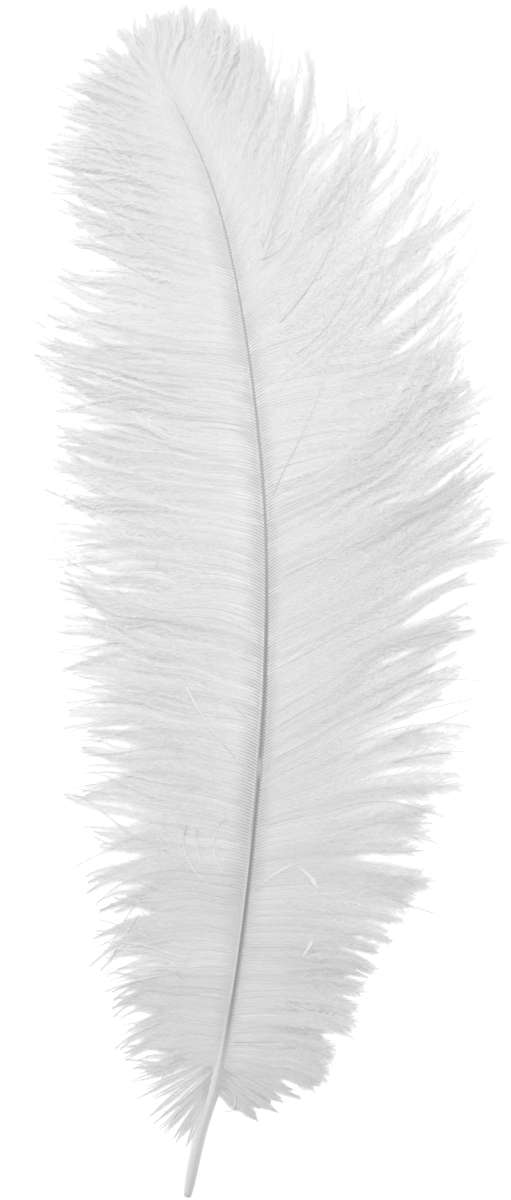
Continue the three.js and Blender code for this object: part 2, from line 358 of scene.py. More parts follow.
class ShaftLine:
    """The shaft's centreline and thickness, in millimetres, as slices across its solid."""

    STEP = 4.0  # between two slices
    QUILL_MARGIN, TIP_MARGIN = 0.6, 0.4  # from the shaft's ends to the outermost slices

    def __init__(self, node):
        mesh = node.data
        points = np.empty(len(mesh.vertices) * 3)
        mesh.vertices.foreach_get("co", points)
        points = points.reshape(-1, 3) / MM
        edges = np.empty(len(mesh.edges) * 2, int)
        mesh.edges.foreach_get("vertices", edges)
        starts, ends = points[edges.reshape(-1, 2).T]
        low, high = points[:, 1].min() + self.QUILL_MARGIN, points[:, 1].max() - self.TIP_MARGIN
        rows = []
        for along in np.linspace(low, high, int((high - low) / self.STEP)):
            cut = (starts[:, 1] - along) * (ends[:, 1] - along) < 0
            share = (along - starts[cut, 1]) / (ends[cut, 1] - starts[cut, 1])
            ring = starts[cut] + (ends[cut] - starts[cut]) * share[:, None]
            least, most = ring.min(0), ring.max(0)
            rows.append([*((least + most) / 2), *(most - least)[[0, 2]]])
        rows = np.array(rows)
        self.centres = rows[:, :3]
        gaps = np.linalg.norm(np.diff(self.centres, axis=0), axis=1)
        self.distances = np.concatenate([[0], np.cumsum(gaps)]) + self.QUILL_MARGIN
        tangents = np.gradient(self.centres, axis=0)
        self.tangents = tangents / np.linalg.norm(tangents, axis=1)[:, None]
        self.widths = rows[:, 3] * self.tangents[:, 1]
        self.depths = rows[:, 4]

    def at(self, distances):
        """Centres, directions, level directions to the right, widths and depths."""
        centres = columns_at(distances, self.distances, self.centres)
        along = columns_at(distances, self.distances, self.tangents)
        right = np.stack([along[:, 1], -along[:, 0], np.zeros(len(along))], axis=1)
        right /= np.linalg.norm(right, axis=1)[:, None]
        widths = np.interp(distances, self.distances, self.widths)
        depths = np.interp(distances, self.distances, self.depths)
        return centres, along, right, widths, depths


def columns_at(at, positions, rows):
    """Linear values of each column of rows, known at positions."""
    return np.stack([np.interp(at, positions, column) for column in rows.T], axis=1)


def unit(vectors):
    """The same directions, each one long."""
    return vectors / np.maximum(np.linalg.norm(vectors, axis=-1, keepdims=True), 1e-9)


def smooth(low, high, values):
    """A soft step from 0 at low to 1 at high, where low may also be the higher one."""
    share = np.clip((values - low) / (high - low), 0, 1)
    return share * share * (3 - 2 * share)


def turned(vectors, angles):
    """Vectors turned about the upright axis by angles in radians."""
    cos, sin = np.cos(angles), np.sin(angles)
    x, y = vectors[:, 0], vectors[:, 1]
    return np.stack([x * cos - y * sin, x * sin + y * cos, vectors[:, 2]], axis=1)


# --- Growing barbs ------------------------------------------------------------------------

# Lengths are in millimetres, and a side is -1 on the shaft's left and 1 on its right.
BARB_STEPS = 28  # straight stretches along a barb
SHARE = np.linspace(0, 1, BARB_STEPS + 1)[None, :]  # of a barb's length, at each of its steps
SHAFT_END = 338  # distance of the shaft's tip from the quill's end
LAST_ROOT = 337  # distance of the last lock's root
SHAFT_CREST = 8.0  # height of the shaft's middle above the surface
LOFT = 3.0  # how far a barb arches up on its way down from the shaft's crest
FLOOR_GAP = 0.15  # least height of a barbule above the surface
STEM_GAP = FLOOR_GAP + 0.2  # least height of a stem
CLUMP = (2, 7)  # least and most barbs in a clump
GROOVE_HALF = 0.26  # of the shaft's width, from the groove's middle to the first barbs
ROOT_RISE = 0.43  # of the shaft's depth, from its centre up to the barbs' roots
ROOT_BEND = {-1: 0.15, 1: 0.12}  # of a barb's length, over which it keeps its slant
LAST_BEND = 0.22  # the same for the last barbs
LAST_BARBS = 0.86  # of the shaft's length, where the last barbs start
TIP_BEND = 0.46  # of a barb's length, over which it keeps its tip's direction
WILD_ODDS = {-1: 0.24, 1: 0.12}  # of the barbs, those that stay out of their clump and lock
BARE_ODDS = 0.22  # of the barbs, those with a short fringe
BROKEN_ODDS = 0.03  # of the barbs, those that are broken off
BROKEN_OFF = 0.3  # of a barb's length, the most that is broken off
LOCK_STRENGTH = {-1: 0.33, 1: 0.55}  # how far a lock draws together, from 0 to 1
CLUMP_STRENGTH = 0.35  # how far a clump draws together
UPPER_RIGHT_STRENGTH = 0.22  # how much further the upper right locks draw together
OVER_SHIFT = {-1: 8, 1: 27}  # how far up the shaft a barb lies that lies over the others
OVER_SLANT, OVER_SWEEP = 22, 8  # how many degrees more it slants and sweeps
OVER_AMOUNT = (0.4, 1.0)  # how far a clump lies over the others, least and most
OVER_ROOT = 0.3  # how far up the shaft its second growth starts
FIRST_ROOT = 40  # distance of the first barb's root
EVEN = 4  # neighbours on either side that even out a barb's place near the shaft
INNER_FRINGE = 1.0  # of the longest barbules, near the shaft
# The fringe at a barb's tip: the least and the most, each with what it has more low down.
TIP_FRINGE = {-1: ((0.15, 0), (0.65, 0)), 1: ((0.4, 0.4), (1.0, 0.3))}
TUFT_BARBS = {-1: 2, 1: 4}  # barbs in a wisp of down
TUFT_FRINGE = {-1: 0.2, 1: 0.5}  # of the longest barbules
COMB_SHADE = {-1: 0.18, 1: 0.16}  # painted shade: how much darker the barbules are near the shaft, in the furrows between pale stems
COMB_REACH = {-1: (12.0, 2.5), 1: (9.0, 2.0)}  # how far from the shaft it is gone, and still full
CURL_FROM, CURL_SPAN = 0.7, 0.6  # of a barb's length, where its side's curl starts, and its reach

# Changes of the growth along the shaft: two distances from the quill's end, between which each
# sets in, and how much it comes to. One written from high to low sets in towards the quill.
CHANGES = {
    "quill": (50, 40, 0.9),  # barbs sink, in millimetres
    "low_comb": (70, 130, 1),  # the comb of stems beside the shaft shows
    "low_tips": (110, 80, 0.5),  # left barbs lose the fringe at their tips
    "low_wild": (130, 70, 0.1),  # more left barbs are wild
    "low_calm": (140, 105, 0.75),  # right barbs lie straight
    "low_groove": (140, 110, 0.06),  # right barbs start closer to the groove
    "low_fringe": (150, 120, 1),  # right barbs keep their fringe to the tip
    "over_from": (110, 160, 0.3),  # of the clumps, those that lie over the others
    "over_to": (320, 280, 1),
    "dusk": (180, 260, 0.08),  # the shade at the stems' tips goes
    "comb_fade": (180, 250, 0.25),  # the comb gets weaker
    "middle_calm": (210, 250, 0.25),  # barbs wander less
    "right_from": (215, 245, 1),  # the wispy upper right of the plume
    "right_to": (315, 290, 1),
    "upper_lift": (220, 300, 0.6),  # wild and bare barbs rise less
    "upper_tone": (220, 300, 0.5),  # barbs are more alike in tone
    "upper_plain": (220, 300, 0.7),  # wild and bare stems stand out less
    "upper_lines": (220, 290, 0.85),  # and so do all others
    "crown_ends": (270, 310, 1),  # barbs end at more different lengths
    "crown_fringe": (270, 320, 0.45),  # every tip has at least this fringe
    "crown_comb": (270, 320, 1),  # the comb is gone
    "crown_calm": (285, 315, 0.45),  # barbs wander least
    "crown_crowd": (285, 330, 0.6),  # barbs grow closer together
    "crown_twist": (300, LAST_ROOT, 1),  # barbs point more different ways
}

# Shares of a barb's length, from its root (0) to its tip (1), over which a change sets in. One
# written from high to low sets in towards the root.
ALONG = {
    "lock": (0.62, 1.0),  # a lock draws together
    "clump": (0.6, 1.0),  # a clump does
    "wave": (0.05, 0.8),
    "twist": (0.4, 1.1),
    "uneven": (0.3, 0.8),  # neighbours stop lying evenly
    "lift": (0.25, 0.8),  # clumps part into layers
    "sunk": (0.0, 0.2),  # barbs dip beside the quill
    "plain": (0.08, 0.2),  # a stem shows as a line of its own
    "dusk": (0.75, 0.95),  # its tip darkens
    "tip_fringe": (0.68, 0.97),  # the fringe comes to its length at the tip
    "inner_fringe": (0.72, 0.35),  # all fringes get alike
    "deep_roots": (0.3, 0.0),  # barbules start below the stem
    "wide_roots": (0.2, 0.0),  # and are wider
}

# How unalike barbs grow: the standard deviation of each random change.
VARY = {
    "root": 0.06,  # millimetres along the shaft
    "border": 0.9,  # millimetres, between two locks
    "length": 0.055,  # of a barb's length
    "clump_length": 0.035,
    "strength": 0.15,  # of how far a lock draws together
    "clump_strength": 0.25,
    "twist": math.radians(1.5),  # a barb's or clump's turn about its root
    "wild_twist": math.radians(4),
    "crown_twist": math.radians(2.5),
    "wild_curl": math.radians(26),
    "lift": 0.12,  # millimetres
    "clump_lift": 0.06,
    "tip_height": 0.5,
    "tone": 0.006,
    "clump_tone": 0.007,
    "lock_tone": 0.010,
    "line": 0.085,  # tone of a stem
}

# Sideways waves: their size in millimetres and their turns along a barb. The wide ones change
# along the shaft over a distance, and the own ones are a clump's and a single barb's.
WIDE_WAVES = ((1.1, 1.3, 14), (0.6, 2.3, 6))
OWN_WAVES = ((0.4, 2.6), (0.22, 3.7))
SWEEP_WAVE = (4, 9)  # degrees that the sweep changes by, over a distance in millimetres
# Random curls of a lock, a clump and a barb: degrees, and where along the barb they start.
CURLS = ((4, 0.55), (11, 0.65), (14, 0.7))

# The barbules, at shares of a barb's length: the degrees between them and the barb, how far
# they tilt down in radians, and their length as a share of the longest.
OPEN_ANGLE = ((0, 0.10, 0.4, 0.7, 0.9, 1), (52, 38, 32, 30, 28, 20))
DOWN_TILT = ((0, 0.3, 0.7, 1), (0.3, 0.22, 0.08, 0))
BARBULE_LENGTH = ((0, 0.05, 0.12, 0.25, 0.5, 0.8, 0.93, 1), (0.34, 0.4, 0.52, 0.76, 1, 1, 1, 0.7))
CURVED_FROM = 0.6  # of a barb's length: barbules are straight slips before, and curved after
PATCHES = 9  # stretches of a barb in which its barbules open alike

# Every barb unfolds into a row of its own, from one side of the map to the other.
STRIP_SPAN, STRIP_MARGIN = 0.98, 0.01  # of the map's width, the barb's length and what is before it
STRIP_HALF, STRIP_LEAN = 0.0012, 0.002  # half a barbule's root, and how far on its tip is
STRIP_BARBULE, STRIP_FLANK = 0.46, 0.06  # of the row's height, a barbule and a stem's flank

STEM_CORNERS = ((0, 1.3), (-1, -0.5), (1, -0.5))  # across and above, as shares of the radius
STEM_TAPER = 0.72  # of its thickness, what a stem loses to its tip
STEM_TONE, STEM_COMB_LIGHT = 0.88, 0.7  # a stem's tone, and how much paler the comb makes it: a painted highlight on the stems near the shaft
BARBULE_TONE = 0.94


def change(name, roots):
    """How much a change of the growth comes to at each root."""
    low, high, amount = CHANGES[name]
    return amount * smooth(low, high, roots)


def sets_in(name, share=SHARE):
    """How far a change has set in, from 0 to 1, at shares of a barb's length."""
    return smooth(*ALONG[name], share)


def runs(rng, count, least, most):
    """The number of the clump that each of count barbs is in, with least to most in a clump."""
    sizes = rng.integers(least, most + 1, count)
    return np.repeat(np.arange(count), sizes)[:count]


def shared(rng, group, spread, middle=0.0):
    """One random value for each group, given to all its members."""
    return rng.normal(middle, spread, group.max() + 1)[group]


def drift(rng, positions, spacing):
    """Random values that change smoothly along positions, about once in each spacing."""
    knots = np.arange(positions.min() - spacing, positions.max() + 2 * spacing, spacing)
    place = (positions - knots[0]) / spacing
    index = place.astype(int)
    part = place - index
    values = rng.normal(0, 1, len(knots))
    return values[index] + (values[index + 1] - values[index]) * part * part * (3 - 2 * part)


def gather(path, clump, amount):
    """Draws each barb towards the middle of its clump, by an amount for each of its points."""
    totals = np.zeros((clump.max() + 1, *path.shape[1:]))
    np.add.at(totals, clump, path)
    middles = totals / np.maximum(np.bincount(clump), 1)[:, None, None]
    return path + (middles[clump] - path) * amount[:, :, None]


def choose_ends(rng, side, roots, locks, over, start):
    """Each barb's clump and lock, whether it is wild or bare, the locks' line, and its reach.

    A barb ends on the line through the locks' tips, and falls shorter towards its lock's edge.
    """
    count = len(roots)
    clump = runs(rng, count, *CLUMP)
    ends = np.minimum(roots + over * OVER_SHIFT[side], LAST_ROOT)
    envelope = columns_at(ends, locks[:, 0], locks[:, 1:3])
    borders = (locks[1:, 0] + locks[:-1, 0]) / 2 + rng.normal(0, VARY["border"], len(locks) - 1)
    lock = np.searchsorted(np.sort(borders), ends)
    wild = rng.random(count) < WILD_ODDS[side] + (side < 0) * change("low_wild", roots)
    bare = rng.random(count) < BARE_ODDS
    half = np.gradient(locks[:, 0])[lock] / 2 + 1e-6
    offset = np.clip((ends - locks[lock, 0]) / half, -1.5, 1.5)
    uneven = np.abs(rng.normal(0, VARY["length"], count)) * (1 + change("crown_ends", roots))
    length = 1 - 0.08 * np.abs(offset) ** 1.5 - uneven
    length -= np.abs(shared(rng, clump, VARY["clump_length"]))
    length -= BROKEN_OFF * (rng.random(count) < BROKEN_ODDS) * rng.random(count)
    length += 0.05 * wild
    longest = np.zeros(len(locks))
    np.maximum.at(longest, lock, length)
    length /= longest[lock]
    reach = (envelope - start[:, :2]) * length[:, None]
    return clump, lock, wild, bare, envelope, np.concatenate([reach, np.zeros((count, 1))], axis=1)


def curve_barbs(rng, side, roots, over, along, outwards, start, reach):
    """Level curves that leave the shaft at the slant and come to their tips on the sweep."""
    length = np.linalg.norm(reach, axis=1)
    slant = np.radians(np.interp(roots, *SLANT[side]) + OVER_SLANT * over)[:, None]
    departure = unit(along * [1, 1, 0]) * np.cos(slant) + outwards * np.sin(slant)
    last = smooth(LAST_BARBS * SHAFT_END, SHAFT_END, roots)
    bend = ROOT_BEND[side] + (LAST_BEND - ROOT_BEND[side]) * last
    degrees, spacing = SWEEP_WAVE
    sweep = np.interp(roots, *SWEEP[side]) * (1 - 0.6 * over) + OVER_SWEEP * over
    sweep += degrees * drift(rng, roots, spacing)
    arrival = turned(reach, np.radians(sweep) * side)
    root = start * [1, 1, 0]
    tip = root + reach
    corners = [root, root + departure * (bend * length)[:, None], tip - arrival * TIP_BEND, tip]
    share = SHARE[:, :, None]
    weights = [(1 - share) ** 3, 3 * share * (1 - share) ** 2, 3 * share**2 * (1 - share), share**3]
    return sum(weight * corner[:, None, :] for weight, corner in zip(weights, corners))


def wave_along(sizes, turns, phases):
    """A sideways wave along each barb, which starts from nothing at its root."""
    return sizes * (np.sin(2 * math.pi * turns * SHARE + phases) - np.sin(phases))


def wander(rng, side, roots, lock, clump, wild, calm, length):
    """Sideways waves and curls, of locks and clumps, and of every barb on its own."""
    single = np.arange(len(roots))
    wave = np.zeros((len(roots), BARB_STEPS + 1))
    for scale, turns, spacing in WIDE_WAVES:
        phases = 2 * drift(rng, roots, spacing)[:, None]
        wave += wave_along(scale * drift(rng, roots, spacing)[:, None], turns, phases)
    for (scale, turns), group in zip(OWN_WAVES, (clump, single)):
        phases = rng.uniform(0, 2 * math.pi, group.max() + 1)[group][:, None]
        wave += wave_along(shared(rng, group, scale)[:, None], turns, phases)
    wave *= sets_in("wave") * calm[:, None]
    twist = shared(rng, single, VARY["twist"]) + wild * shared(rng, single, VARY["wild_twist"])
    twist += shared(rng, single, VARY["crown_twist"]) * change("crown_twist", roots)
    twist += shared(rng, clump, VARY["twist"])
    wave += (twist * length)[:, None] * sets_in("twist")
    curls = np.radians(np.interp(roots, *CURL[side])) * side * length
    wave += curls[:, None] * np.maximum(SHARE - CURL_FROM, 0) ** 2 / CURL_SPAN
    for (degrees, first), group in zip(CURLS, (lock, clump, single)):
        curls = shared(rng, group, math.radians(degrees)) * calm
        bow = np.maximum(SHARE - first, 0) ** 2 / (2 * (1 - first))
        wave += (curls * length)[:, None] * bow
    curls = wild * shared(rng, single, VARY["wild_curl"]) * length
    return wave + curls[:, None] * np.maximum(SHARE - 0.5, 0) ** 2


def grow_barbs(rng, shaft, side, roots, locks, over):
    """Barbs: a path each, in millimetres, and what their stems and fringes look like.

    over is above 0 for barbs that sweep further up than the rest, and lie on top of them.
    """
    locks = np.array(locks, float)
    count = len(roots)
    centres, along, right, widths, depths = shaft.at(roots)
    groove = np.interp(roots, *GROOVE_PLACE) - 0.5
    half_groove = GROOVE_HALF - (side > 0) * change("low_groove", roots)
    start = centres + right * (widths * (groove + side * half_groove))[:, None]
    start[:, 2] += ROOT_RISE * depths
    clump, lock, wild, bare, envelope, reach = choose_ends(rng, side, roots, locks, over, start)
    length = np.linalg.norm(reach, axis=1)
    path = curve_barbs(rng, side, roots, over, along, right * side, start, reach)

    # Locks draw together towards their tips, and small clumps inside them do so once more.
    calm = 1 - change("middle_calm", roots) - change("crown_calm", roots)
    calm -= (side > 0) * change("low_calm", roots)
    upper_right = (side > 0) * change("right_from", roots) * change("right_to", roots)
    strength = rng.normal(LOCK_STRENGTH[side], VARY["strength"], len(locks))
    strength = np.clip(strength, 0.05, 0.85)[lock] + UPPER_RIGHT_STRENGTH * upper_right
    draw = (locks[lock, 1:3] - envelope) * (strength * ~wild * calm)[:, None]
    path[:, :, :2] += sets_in("lock")[:, :, None] * draw[:, None, :]
    tight = np.clip(shared(rng, clump, VARY["clump_strength"], CLUMP_STRENGTH), 0, 0.8)
    path = gather(path, clump, (tight * ~wild * calm)[:, None] * sets_in("clump"))

    wave = wander(rng, side, roots, lock, clump, wild, calm, length)
    path += unit(np.cross(UP, reach))[:, None, :] * wave[:, :, None]
    if not over.any():
        # Near the shaft the barbs lie evenly side by side, like the teeth of a comb.
        padded = np.pad(path, ((EVEN, EVEN), (0, 0), (0, 0)), mode="reflect", reflect_type="odd")
        even = sum(padded[step : step + count] for step in range(2 * EVEN + 1)) / (2 * EVEN + 1)
        path += (even - path) * (1 - sets_in("uneven"))[:, :, None]

    # Height: an arch from the shaft down to the surface, with the clumps in layers.
    root_height = start[:, 2:3]
    lift = (shared(rng, clump, VARY["clump_lift"]) + rng.normal(0, VARY["lift"], count)) * calm
    lift += (0.3 * wild + 0.1 * bare) * (1 - change("upper_lift", roots)) + 0.2 * over
    tip_height = 1.0 + np.abs(rng.normal(0, VARY["tip_height"], count)) + 0.4 * locks[lock, 3]
    height = root_height + (tip_height[:, None] - root_height) * SHARE**1.25
    height += LOFT * 4 * SHARE * (1 - SHARE) * root_height / SHAFT_CREST
    height += lift[:, None] * sets_in("lift")
    height -= change("quill", roots)[:, None] * sets_in("sunk")
    path[:, :, 2] = np.maximum(height, STEM_GAP)

    tone = rng.normal(0, VARY["lock_tone"], len(locks))[lock] + shared(rng, clump, VARY["clump_tone"])
    tone = (tone + rng.normal(0, VARY["tone"], count)) * (1 - change("upper_tone", roots))
    tone += 0.02 * over
    fringe = rng.uniform(0.85, 1.1, count) * np.where(bare, 0.55, 1) * np.where(wild, 0.55, 1)
    # Where the barbs fan out, their tips carry longer fringes.
    fan = np.linalg.norm(np.gradient(envelope, axis=0), axis=1) / np.maximum(np.gradient(roots), 0.2)
    fan = np.clip(fan / 1.2, 1, 1.7)
    low = change("low_fringe", roots)
    least, most = (anywhere + low_down * low for anywhere, low_down in TIP_FRINGE[side])
    end_fringe = rng.uniform(least, most, count) * np.where(wild, 0.4, 1) * fan
    end_fringe *= 1 - (side < 0) * change("low_tips", roots)
    end_fringe *= 1 - 0.4 * upper_right
    end_fringe = np.maximum(end_fringe, change("crown_fringe", roots))
    plain = rng.uniform(0.03, 0.1, count) * (bare | wild) * (1 - change("upper_plain", roots))
    comb = COMB_SHADE[side] * (1 - 0.3 * (over > 0)) * (1 - change("comb_fade", roots))
    comb = comb * (1 - change("crown_comb", roots)) * change("low_comb", roots)
    return {
        "path": path,
        "tone": tone,
        "fringe": fringe,
        "inner": np.full(count, INNER_FRINGE),
        "end_fringe": end_fringe,
        "plain": plain * (over == 0) + 0.01,
        "dusk": 0.09 - change("dusk", roots),
        "comb": comb,
        "ridge": np.column_stack([reach_of_comb / length for reach_of_comb in COMB_REACH[side]]),
    }


def grow_strays(strays, vane):
    """Single barbs that lie over the vane along curves through given points."""
    known = vane["path"].reshape(-1, 3)
    neighbours, smoothed = 12, 3
    grown = []
    for lift, tone, fringe, points in strays:
        points = np.array(points, float)
        gaps = np.linalg.norm(np.diff(points, axis=0), axis=1)
        place = np.concatenate([[0], np.cumsum(gaps)])
        fit = np.polyfit(place, points, min(3, len(points) - 1))
        level = np.linspace(0, place[-1], BARB_STEPS + 1)
        flat = np.stack([np.polyval(column, level) for column in fit.T], axis=1)
        reach = ((flat[:, None, :] - known[None, :, :2]) ** 2).sum(-1)
        nearest = np.argsort(reach, axis=1)[:, :neighbours]
        height = np.pad(known[nearest, 2].max(1) + lift, smoothed, mode="edge")
        window = np.ones(2 * smoothed + 1) / (2 * smoothed + 1)
        grown.append({
            "path": np.column_stack([flat, np.convolve(height, window, mode="valid")]),
            "tone": tone + 0.09,
            "fringe": fringe,
            "inner": fringe,
            "end_fringe": 0.4,
            "plain": 0.03,
            "dusk": 0.06,
            "comb": 0.0,
            "ridge": (0.02, 0.01),
        })
    return {key: np.array([barb[key] for barb in grown]) for key in grown[0]}


# --- Meshes of stems and barbules ---------------------------------------------------------


class Strips:
    """Triangles gathered for one mesh, with a place on the unfolded barb for each corner."""

    def __init__(self):
        self.parts = []
        self.size = 0

    def add(self, points, faces, places, tones, normals):
        """Takes in points, and triangles that count from the first of them."""
        self.parts.append((points, faces + self.size, places, tones, normals))
        self.size += len(points)

    def add_slips(self, chosen, corners, places, triangles, tones, normals):
        """Takes in the chosen barbules, each as a few triangles between its own corners."""
        points = np.stack([corner[chosen] for corner in corners], axis=1)
        places = np.stack([np.stack([u[chosen], v[chosen]], -1) for u, v in places], axis=1)
        first = np.arange(len(points))[:, None] * len(corners)
        faces = np.concatenate([first + triangle for triangle in triangles])
        tones = np.repeat(tones[chosen], len(corners))
        normals = np.repeat(normals[chosen], len(corners), axis=0)
        self.add(points.reshape(-1, 3), faces, places.reshape(-1, 2), tones, normals)


def strip_rows(count):
    """The middle of each barb's row on the unfolded strips."""
    return (np.arange(count) + 0.5) / count


def comb_fade(barbs, share, further=1):
    """How strong the comb beside the shaft is at shares of each barb's length."""
    return smooth(further * barbs["ridge"][:, :1], barbs["ridge"][:, 1:], share)


def add_rami(strips, barbs, thickness):
    """A three-sided tapering stem along each path, ridge upwards."""
    path = barbs["path"]
    count, steps = path.shape[:2]
    along = unit(np.gradient(path, axis=1))
    across = unit(np.cross(along, UP))
    above = np.cross(across, along)
    radius = thickness / 2 * (1 - STEM_TAPER * SHARE[:, :, None])
    ways = [across * a + above * b for a, b in STEM_CORNERS]
    points = np.stack([path + radius * way for way in ways], axis=2)
    normals = np.stack([unit(0.6 * way + above) for way in ways], axis=2)
    number = np.arange(count * steps * 3).reshape(count, steps, 3)
    near, far = number[:, :-1], number[:, 1:]
    quads = []
    for corner in range(3):
        after = (corner + 1) % 3
        quads.append(np.stack([near[..., after], near[..., corner], far[..., corner]], axis=-1))
        quads.append(np.stack([near[..., after], far[..., corner], far[..., after]], axis=-1))
    faces = np.concatenate([q.reshape(-1, 3) for q in quads])
    flanks = np.array([0.0, STRIP_FLANK, -STRIP_FLANK]) / count
    v = (strip_rows(count)[:, None, None] + flanks) + np.zeros((count, steps, 3))
    u = np.broadcast_to(SHARE[:, :, None], (count, steps, 3)) * STRIP_SPAN + STRIP_MARGIN
    places = np.stack([u, v], axis=-1).reshape(-1, 2)
    dark = barbs["plain"][:, None] * sets_in("plain")
    dark = dark + barbs["dusk"][:, None] * sets_in("dusk")
    # Painted highlight: near the shaft the stems are paler, like lit ridges of the comb.
    comb = STEM_COMB_LIGHT * comb_fade(barbs, SHARE, 2.2) * barbs["comb"][:, None]
    tones = (1.0 - dark + barbs["tone"][:, None]) * (STEM_TONE + comb)
    tones = np.broadcast_to(tones[:, :, None], (count, steps, 3)).reshape(-1)
    strips.add(points.reshape(-1, 3), faces, places, tones, normals.reshape(-1, 3))


def on_path(path, share):
    """Points and directions at shares of each path's length. share has a row a barb."""
    steps = path.shape[1] - 1
    place = np.clip(share * steps, 0, steps - 1e-6)
    index = place.astype(int)
    part = (place - index)[..., None]
    row = np.arange(len(path))[:, None]
    here, after = path[row, index], path[row, index + 1]
    return here + (after - here) * part, unit(after - here)


def add_barbules(rng, strips, barbs, number, width, longest):
    """The fringe on both sides of each barb: straight slips inside, curved ones at the tips."""
    count = len(barbs["path"])
    fringe, inner, end_fringe = (barbs[key][:, None] for key in ("fringe", "inner", "end_fringe"))
    for side in (-1, 1):
        # One barbule in each stretch, closer together towards the root, and none at the ends.
        share = (np.arange(number) + rng.random((count, number))) / number
        share = 0.008 + 0.989 * share**1.2
        root, along = on_path(barbs["path"], share)
        across = unit(np.cross(UP, along)) * side
        above = unit(np.cross(along, across) * side)
        root = root - above * (0.2 * sets_in("deep_roots", share))[..., None]
        # Barbules stand out from the barb near the shaft and lie along it at the tip.
        patches = rng.normal(0, 5, (count, PATCHES))
        grid = np.linspace(0, 1, PATCHES)
        patch = np.stack([np.interp(s, grid, p) for s, p in zip(share, patches)])
        angle = np.interp(share, *OPEN_ANGLE) + patch + rng.normal(0, 6, share.shape)
        angle = np.radians(angle)[..., None]
        tilt = (rng.normal(0, 0.14, share.shape) - np.interp(share, *DOWN_TILT))[..., None]
        out = across * np.cos(tilt) + above * np.sin(tilt)
        way = along * np.cos(angle) + out * np.sin(angle)
        # Near the shaft every barb is fringed alike, so that the vane closes there.
        size = np.interp(share, *BARBULE_LENGTH) * (1 - sets_in("tip_fringe", share) * (1 - end_fringe))
        size = size * longest * (fringe + (inner - fringe) * sets_in("inner_fringe", share))
        size = (size * rng.uniform(0.5, 1.25, share.shape))[..., None]
        flat = unit(np.cross(way, above))
        lean = rng.normal(0, 0.35, share.shape)[..., None]
        edge = (flat * np.cos(lean) + above * np.sin(lean)) * width / 2
        edge = edge * (1 + 0.5 * sets_in("wide_roots", share))[..., None]
        normal = unit(above + 0.6 * unit(np.cross(edge, way)))
        # Painted shade in the furrows between the stems near the shaft, and each barb's own tone.
        tones = BARBULE_TONE - barbs["comb"][:, None] * comb_fade(barbs, share) + barbs["tone"][:, None]
        tones = tones + rng.normal(0, 0.015, share.shape)
        v_root = np.broadcast_to(strip_rows(count)[:, None], share.shape)
        v_tip = v_root + side * STRIP_BARBULE / count
        v_middle = (v_root + v_tip) / 2
        u = share * STRIP_SPAN + STRIP_MARGIN
        before, after = u - STRIP_HALF, u + STRIP_HALF
        a, b = root - edge, root + edge
        # Straight slips: root pair and tip.
        straight = share < CURVED_FROM
        corners = (a, b, root + way * size)
        places = ((before, v_root), (after, v_root), (u + STRIP_LEAN, v_tip))
        strips.add_slips(straight, corners, places, ([0, 1, 2],), tones, normal)
        # Curved slips: root pair, middle pair and tip, bending towards the barb's tip.
        droop = rng.normal(-0.05, 0.16, share.shape)[..., None]
        curl = rng.normal(0.25, 0.35, share.shape)[..., None]
        onward = unit(way + along * curl + UP * droop)
        middle = root + way * size * 0.5
        corners = (a, b, middle + edge * 0.7, middle - edge * 0.7, middle + onward * size * 0.5)
        places = ((before, v_root), (after, v_root), (after, v_middle), (before, v_middle), (u, v_tip))
        strips.add_slips(~straight, corners, places, ([0, 1, 2], [0, 2, 3], [3, 2, 4]), tones, normal)


def make_mesh(name, strips, material):
    """One mesh object from the gathered triangles, in metres."""
    points, faces, places, tones, normals = (np.concatenate(part) for part in zip(*strips.parts))
    points[:, 2] = np.maximum(points[:, 2], FLOOR_GAP)
    mesh = bpy.data.meshes.new(name)
    mesh.vertices.add(len(points))
    mesh.vertices.foreach_set("co", (points * MM).astype(np.float32).ravel())
    mesh.loops.add(faces.size)
    mesh.loops.foreach_set("vertex_index", faces.astype(np.int32).ravel())
    mesh.polygons.add(len(faces))
    mesh.polygons.foreach_set("loop_start", np.arange(0, faces.size, 3, dtype=np.int32))
    mesh.update(calc_edges=True)
    layer = mesh.uv_layers.new(name="OFBake")
    layer.uv.foreach_set("vector", places[faces.ravel()].astype(np.float32).ravel())
    tone = mesh.attributes.new("tone", "FLOAT", "POINT")
    tone.data.foreach_set("value", tones.astype(np.float32))
    mesh.polygons.foreach_set("use_smooth", np.ones(len(faces), bool))
    mesh.normals_split_custom_set_from_vertices(unit(normals).astype(np.float32))
    mesh.materials.append(material)
    piece = bpy.data.objects.new(name, mesh)
    bpy.context.scene.collection.objects.link(piece)
    return piece


# --- Materials ----------------------------------------------------------------------------


def linear(colour):
    """An sRGB hex value as linear red, green, blue and alpha."""
    parts = [int(colour[i : i + 2], 16) / 255 for i in (1, 3, 5)]
    return [*(p / 12.92 if p <= 0.04045 else ((p + 0.055) / 1.055) ** 2.4 for p in parts), 1.0]


def add_node(tree, kind, links=(), values=(), points=(), **settings):
    """Adds a node with its settings, values and links by socket, and a curve's points."""
    node = tree.nodes.new(kind)
    for name, value in settings.items():
        setattr(node, name, value)
    for socket, value in values:
        node.inputs[socket].default_value = value
    for socket, source in links:
        tree.links.new(source, node.inputs[socket])
    if points:
        curve = node.mapping.curves[0]
        curve.points[0].location = points[0]
        curve.points[-1].location = points[-1]
        for x, y in points[1:-1]:
            curve.points.new(x, y)
        node.mapping.update()
    return node


def new_material(name, **values):
    """A material with its node tree and its shader, which gets values by socket."""
    material = bpy.data.materials.new(name)
    material.use_nodes = True
    shader = material.node_tree.nodes["Principled BSDF"]
    for socket, value in values.items():
        shader.inputs[socket.replace("_", " ")].default_value = value
    return material, material.node_tree, shader


